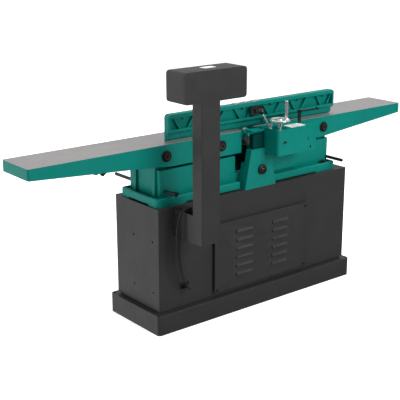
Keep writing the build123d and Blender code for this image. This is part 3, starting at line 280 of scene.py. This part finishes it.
aluminium = metal("turned_aluminium", (0.66, 0.66, 0.66), (0.5, 0.5, 0.5), 0.3, (1, 14, 1), 160, 0.08)
black_plastic = plastic("black_phenolic", (0.012, 0.012, 0.013), 0.24, 500, 0.03)
rubber = plastic("cable_rubber", (0.016, 0.016, 0.017), 0.55, 1200, 0.25)
red_plastic = plastic("red_plastic", (0.45, 0.012, 0.01), 0.3)
start_plastic = plastic("start_green_plastic", (0.01, 0.26, 0.04), 0.3)
label_white = plastic("label_film", (0.78, 0.78, 0.76), 0.35, 300, 0.03)
label_ink = plastic("label_ink", (0.06, 0.07, 0.08), 0.4, 300, 0.03)
bronze = metal("bronze", (0.22, 0.15, 0.095), (0.14, 0.10, 0.06), 0.38, (1, 1, 1), 200, 0.1, 0.8, 0.2)
# near-black stand-in for the shade inside the bracket's slot and holes, a painted shadow
painted_hole_shadow = plastic("recess_shadow", (0.004, 0.004, 0.004), 0.6)
table_mat = two_sided("table_iron_and_paint", green, ground_iron, "Z", 0.7)
fence_mat = two_sided("fence_iron_and_paint", green, ground_iron, "Y", -0.0605, -1.0)
# painted shade: above a level 85 mm under the bracket's top, the belt guard is drawn in a near-black green
# that stands in for the shadow on its upper part
painted_shade_mat = painted("green_painted_shade", (0.0, 0.040, 0.034), (0.0, 0.028, 0.024), 0.5, 0.0, 0.06, 0.05, wear=0.05)
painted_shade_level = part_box("fence_bracket")[1].z - 0.085
guard_green_with_painted_shade = by_height("guard_green_and_painted_shade", green, painted_shade_mat, painted_shade_level)

BY_SLOT = {
    "green_paint": green, "black_powder": powder, "ground_iron": ground_iron, "chrome": chrome,
    "black_plastic": black_plastic, "steel": steel, "oxide_steel": oxide, "carbide": carbide,
    "rubber": rubber, "red_plastic": red_plastic, "start_plastic": start_plastic, "zinc": zinc,
    "aluminium": aluminium,
}
SPECIAL = {
    "infeed_table": table_mat, "outfeed_table": table_mat, "fence": fence_mat, "belt_guard": guard_green_with_painted_shade,
    "fence_carriage": green, "rear_cutter_guard": green, "fence_bracket": green,
}
# width of the rounded edges in millimetres; every other node gets 0.7
BEVEL = {
    "base_casting": 2.0, "infeed_table": 1.6, "outfeed_table": 1.6, "fence": 1.2, "belt_guard": 2.2,
    "fence_bracket": 2.0, "fence_carriage": 1.0, "cutter_guard": 1.4, "cutter_inserts": 0.2,
    "cutterhead": 0.2, "pinion_spindle": 0.15, "sheet_screws": 0.25, "access_panel": 0.5,
    "drive_belt": 0.4, "motor": 0.5, "plinth": 0, "cabinet": 0, "column": 0, "fence_rack": 0,
    "chip_chute": 0, "motor_lead": 0, "supply_lead": 0,
}

for row in frame["record"]["subparts"]:
    name = row["node"]
    node = nodes[name]
    node.data.materials.clear()
    node.data.materials.append(SPECIAL.get(name, BY_SLOT[row["material_slot"]]))
    weld = node.modifiers.new("weld", "WELD")
    weld.merge_threshold = 0.00001
    width = BEVEL.get(name, 0.7)
    if width:
        bevel = node.modifiers.new("bevel", "BEVEL")
        bevel.width = width * MM
        bevel.segments = 2
        bevel.limit_method = "ANGLE"
        bevel.angle_limit = radians(38)
        bevel.use_clamp_overlap = True
        bevel.harden_normals = True
    for polygon in node.data.polygons:
        polygon.use_smooth = True
    split = node.modifiers.new("edges", "EDGE_SPLIT")
    split.split_angle = radians(32)
    flat = node.modifiers.new("flat", "WEIGHTED_NORMAL")
    flat.mode = "FACE_AREA"
    flat.weight = 80


# ------------------------------------------------------------------ detail pieces
def piece(name, bm, material, body, smooth=35, bevel=0.0):
    """Turns a bmesh in frame millimetres into a riding piece."""
    for v in bm.verts:
        v.co *= MM
    bmesh.ops.recalc_face_normals(bm, faces=bm.faces)
    mesh = bpy.data.meshes.new(name)
    bm.to_mesh(mesh)
    bm.free()
    obj = bpy.data.objects.new(name, mesh)
    bpy.context.scene.collection.objects.link(obj)
    mesh.materials.append(material)
    if bevel:
        b = obj.modifiers.new("bevel", "BEVEL")
        b.width = bevel * MM
        b.segments = 2
        b.limit_method = "ANGLE"
        b.angle_limit = radians(smooth)
    for polygon in mesh.polygons:
        polygon.use_smooth = True
    s = obj.modifiers.new("edges", "EDGE_SPLIT")
    s.split_angle = radians(smooth)
    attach(obj, body)
    return obj


def box_into(bm, low, high):
    """A box from its low corner to its high corner."""
    size = [b - a for a, b in zip(low, high)]
    centre = [(a + b) / 2 for a, b in zip(low, high)]
    bmesh.ops.create_cube(bm, size=1, matrix=Matrix.Translation(centre) @ Matrix.Diagonal((*size, 1)))


def plate_into(bm, centre, u, v, normal, half_u, half_v, radius, thick, steps=5):
    """A rounded plate: centre of its back face, two in-plane axes, outward normal."""
    centre, u, v, n = Vector(centre), Vector(u), Vector(v), Vector(normal)
    ring = []
    for quarter, (su, sv) in enumerate(((1, 1), (-1, 1), (-1, -1), (1, -1))):
        for k in range(steps + 1):
            a = (quarter + k / steps) * pi / 2
            ring.append((su * (half_u - radius) + radius * cos(a), sv * (half_v - radius) + radius * sin(a)))
    rows = [[bm.verts.new(centre + u * a + v * b + n * t) for a, b in ring] for t in (0, thick)]
    count = len(ring)
    for i in range(count):
        j = (i + 1) % count
        bm.faces.new((rows[0][i], rows[0][j], rows[1][j], rows[1][i]))
    bm.faces.new(rows[1])
    bm.faces.new(list(reversed(rows[0])))


def turned_into(bm, centre, axis, profile, sides=32):
    """A turned solid: profile of (radius, height) along axis from centre."""
    axis = Vector(axis).normalized()
    turn = axis.to_track_quat("Z", "Y").to_matrix()
    rings = []
    for radius, height in profile:
        if radius < 1e-6:
            rings.append([bm.verts.new(Vector(centre) + turn @ Vector((0, 0, height)))])
            continue
        rings.append([bm.verts.new(Vector(centre) + turn @ Vector((radius * cos(2 * pi * k / sides),
                     radius * sin(2 * pi * k / sides), height))) for k in range(sides)])
    for a, b in zip(rings, rings[1:]):
        for k in range(sides):
            j = (k + 1) % sides
            if len(a) == 1:
                bm.faces.new((a[0], b[j], b[k]))
            elif len(b) == 1:
                bm.faces.new((a[k], a[j], b[0]))
            else:
                bm.faces.new((a[k], a[j], b[j], b[k]))


def mm_box(node):
    """Low and high corners of a CAD node's box in millimetres."""
    low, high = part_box(node)
    return low * 1000, high * 1000


def middle(node):
    """Centre of a CAD node's box in millimetres."""
    low, high = mm_box(node)
    return (low + high) / 2



# dished bronze centres in the journal caps and in the guard's knob
DISH = [(12.5, 0), (12.2, 0.4), (9.2, 0.4), (8.4, -0.4)]
for bed, skip in (("infeed", None), ("outfeed", ("inner", 1))):
    low, high = mm_box(f"{bed}_shaft_caps")
    bm = bmesh.new()
    for where, side in (("outer", 1), ("inner", 1), ("inner", -1)):
        if (where, side) == skip:
            continue
        disc = middle(f"{bed}_{where}_shaft")
        face = high.y if side > 0 else low.y
        turned_into(bm, (disc.x, face - side * 0.1, disc.z), (0, side, 0), DISH)
    piece(f"{bed}_cap_rings", bm, bronze, f"{bed}_bed")

low, high = mm_box("belt_guard_knob")
knob = middle("belt_guard_knob")
button = [(8.8, 0), (8.8, 1.6), (7.6, 2.4), (5.2, 2.5), (4.6, 1.4), (0, 1.4)]
bm = bmesh.new()
turned_into(bm, (knob.x, high.y - 2.6, knob.z), (0, 1, 0), button)
piece("belt_guard_knob_centre", bm, bronze, "guard_knob")

# plain label on the carriage, with generic bars in place of text
low, high = mm_box("fence_carriage")
label = Vector((middle("fence_carriage").x - 14, high.y - 40, high.z))
bm = bmesh.new()
plate_into(bm, label, (1, 0, 0), (0, 1, 0), (0, 0, 1), 44, 26, 4, 0.5)
piece("carriage_label", bm, label_white, "carriage")
bm = bmesh.new()
for row, width in enumerate((30, 22, 34, 17, 26)):
    line = label + Vector((0, 18 - row * 9, 0.5))
    plate_into(bm, line, (1, 0, 0), (0, 1, 0), (0, 0, 1), width, 1.4, 0.4, 0.15, 2)
piece("carriage_label_bars", bm, label_ink, "carriage")

# painted shadow: near-black inserts fill the slot and the holes of the bracket's rear face, standing in for
# their shaded insides
low, high = mm_box("fence_bracket")
back = high.y - 3.6
bm = bmesh.new()
box_into(bm, (high.x - 139.5, back, high.z - 56), (high.x - 118.5, high.y + 0.3, high.z - 48))
for dx, dz, radius in ((272, 52.5, 4), (286, 91.5, 5)):
    place = (high.x - dx, back, high.z - dz)
    turned_into(bm, place, (0, 1, 0), [(radius, 0), (radius, 4), (radius - 1, 4.2), (0, 4.2)], 20)
piece("bracket_painted_hole_shadows", bm, painted_hole_shadow, "stand", bevel=0.3)

# raised stops on the fence's upper edge
low, high = mm_box("fence")
bm = bmesh.new()
for x0, x1 in ((391, 361), (437, 415), (505, 467)):
    box_into(bm, (high.x - x0, low.y + 5, high.z - 0.5), (high.x - x1, high.y - 3, high.z + 3.5))
piece("fence_edge_stops", bm, zinc, "fence_body", bevel=1.0)

# bezels and face plate of the buttons
low, high = mm_box("control_box")
start, stop = middle("start_button"), middle("stop_button")
bezel = [(16.2, 0), (16.2, 2.6), (17.2, 3.2), (22, 3.0), (24, 0)]
bm = bmesh.new()
for spot in (start, stop):
    turned_into(bm, (spot.x, low.y, spot.z), (0, -1, 0), bezel)
piece("button_bezels", bm, chrome, "stand")
bm = bmesh.new()
between = ((start.x + stop.x) / 2, low.y, start.z)
plate_into(bm, between, (1, 0, 0), (0, 0, 1), (0, -1, 0), 46, 24, 5, 0.6)
piece("switch_face_plate", bm, aluminium, "stand")

# depth scale on the operator's side of the base
low, high = mm_box("base_casting")
lock = middle("infeed_table_lock")
wall = mm_box("infeed_table_lock")[1].y
scale = Vector((lock.x - 88, wall, high.z - 128))
bm = bmesh.new()
plate_into(bm, scale, (1, 0, 0), (0, 0, 1), (0, -1, 0), 11, 30, 2, 0.8)
piece("depth_scale", bm, aluminium, "stand")
bm = bmesh.new()
for k in range(15):
    half = 6 if k % 5 == 0 else 3.2
    tick = scale + Vector((half - 8.5, -0.8, k * 3.4 - 24))
    plate_into(bm, tick, (1, 0, 0), (0, 0, 1), (0, -1, 0), half, 0.35, 0.1, 0.12, 1)
piece("depth_scale_ticks", bm, label_ink, "stand")

# plate on top of the control box
low, high = mm_box("control_box")
spot = (middle("control_box").x - 10, high.y - 56, high.z)
bm = bmesh.new()
plate_into(bm, spot, (1, 0, 0), (0, 1, 0), (0, 0, 1), 30, 17, 4, 0.5)
piece("control_box_plate", bm, label_white, "stand")


# ------------------------------------------------------------------ studio
floor_mesh = bmesh.new()
bmesh.ops.create_grid(floor_mesh, x_segments=1, y_segments=1, size=40)
mesh = bpy.data.meshes.new("floor")
floor_mesh.to_mesh(mesh)
floor_mesh.free()
floor = bpy.data.objects.new("floor", mesh)
bpy.context.scene.collection.objects.link(floor)
s = Shader("studio_floor")
s.set(color=s.mix(s.noise(3, 3), (0.80, 0.80, 0.80), (0.84, 0.84, 0.84)), rough=0.7)
s.bsdf.inputs["Emission Color"].default_value = (1, 1, 1, 1)
lit = s.node("ShaderNodeLightPath")
s.link(s.times(lit.outputs["Is Camera Ray"], 0.62), s.bsdf.inputs["Emission Strength"])
mesh.materials.append(s.mat)
floor.visible_glossy = False


def area(name, place, target, size, power, glossy=True):
    """A square area light aimed at a target; glossy says if it shows in reflections."""
    light = bpy.data.lights.new(name, "AREA")
    light.energy = power
    light.size = size
    obj = bpy.data.objects.new(name, light)
    obj.location = place
    obj.rotation_euler = (Vector(target) - Vector(place)).to_track_quat("-Z", "Y").to_euler()
    obj.visible_glossy = glossy
    bpy.context.scene.collection.objects.link(obj)


area("key", (-0.9, 4.4, 2.9), (0, 0, 0.6), 2.2, 150)
area("end_fill", (3.6, -2.2, 0.6), (0.6, 0, 0.35), 1.8, 90, glossy=False)
area("top", (0, 0.4, 4.2), (0, 0, 0.5), 2.6, 95, glossy=False)
area("front_fill", (-1.8, -4.2, 2.4), (0, 0, 0.6), 2.4, 120, glossy=False)

# white for the camera, a soft graded sky for everything else
world = bpy.data.worlds.new("studio")
bpy.context.scene.world = world
world.use_nodes = True
wt = world.node_tree
background = wt.nodes["Background"]
background.inputs["Color"].default_value = (1, 1, 1, 1)
background.inputs["Strength"].default_value = 1.0
soft = wt.nodes.new("ShaderNodeBackground")
sky = wt.nodes.new("ShaderNodeValToRGB")
sky.color_ramp.elements[0].position = 0.49
sky.color_ramp.elements[0].color = (0.03, 0.03, 0.03, 1)
sky.color_ramp.elements[1].position = 0.60
sky.color_ramp.elements[1].color = (0.95, 0.94, 0.94, 1)
direction = wt.nodes.new("ShaderNodeTexCoord")
split = wt.nodes.new("ShaderNodeSeparateXYZ")
lift = wt.nodes.new("ShaderNodeMath")
lift.operation = "MULTIPLY_ADD"
lift.inputs[1].default_value = 0.5
lift.inputs[2].default_value = 0.5
wt.links.new(direction.outputs["Generated"], split.inputs[0])
wt.links.new(split.outputs["Z"], lift.inputs[0])
wt.links.new(lift.outputs[0], sky.inputs["Fac"])
wt.links.new(sky.outputs["Color"], soft.inputs["Color"])
soft.inputs["Strength"].default_value = 0.55
path = wt.nodes.new("ShaderNodeLightPath")
# a bright card beyond the operator's side, seen only as a sheen on the infeed-end faces
card = wt.nodes.new("ShaderNodeVectorMath")
card.operation = "DOT_PRODUCT"
card.inputs[1].default_value = (0.60, -0.76, -0.25)
sheen = wt.nodes.new("ShaderNodeValToRGB")
sheen.color_ramp.elements[0].position = 0.55
sheen.color_ramp.elements[1].position = 0.85
gate = wt.nodes.new("ShaderNodeMath")
gate.operation = "MULTIPLY"
wt.links.new(path.outputs["Is Glossy Ray"], gate.inputs[0])
gate.inputs[1].default_value = 0.75
glow = wt.nodes.new("ShaderNodeBackground")
wt.links.new(direction.outputs["Generated"], card.inputs[0])
wt.links.new(card.outputs["Value"], sheen.inputs["Fac"])
wt.links.new(sheen.outputs["Color"], glow.inputs["Color"])
wt.links.new(gate.outputs[0], glow.inputs["Strength"])
both = wt.nodes.new("ShaderNodeAddShader")
wt.links.new(soft.outputs[0], both.inputs[0])
wt.links.new(glow.outputs[0], both.inputs[1])
choose = wt.nodes.new("ShaderNodeMixShader")
wt.links.new(path.outputs["Is Camera Ray"], choose.inputs[0])
wt.links.new(both.outputs[0], choose.inputs[1])
wt.links.new(background.outputs[0], choose.inputs[2])
wt.links.new(choose.outputs[0], wt.nodes["World Output"].inputs["Surface"])

camera_data = bpy.data.cameras.new("camera")
camera_data.sensor_width = 36
camera_data.lens = 83.174
camera_data.clip_end = 150
camera = bpy.data.objects.new("camera", camera_data)
camera.location = (2.678914, 3.073381, 1.668047)
yaw, pitch, roll = radians(-128.73), radians(-16.631), radians(-0.11)
forward = Vector((cos(yaw) * cos(pitch), sin(yaw) * cos(pitch), sin(pitch)))
right = Vector((sin(yaw), -cos(yaw), 0))
up = right.cross(forward)
right, up = right * cos(roll) + up * sin(roll), up * cos(roll) - right * sin(roll)
camera.rotation_euler = Matrix((right, up, -forward)).transposed().to_euler()
bpy.context.scene.collection.objects.link(camera)
bpy.context.scene.camera = camera
bpy.context.scene.view_settings.view_transform = "Standard"
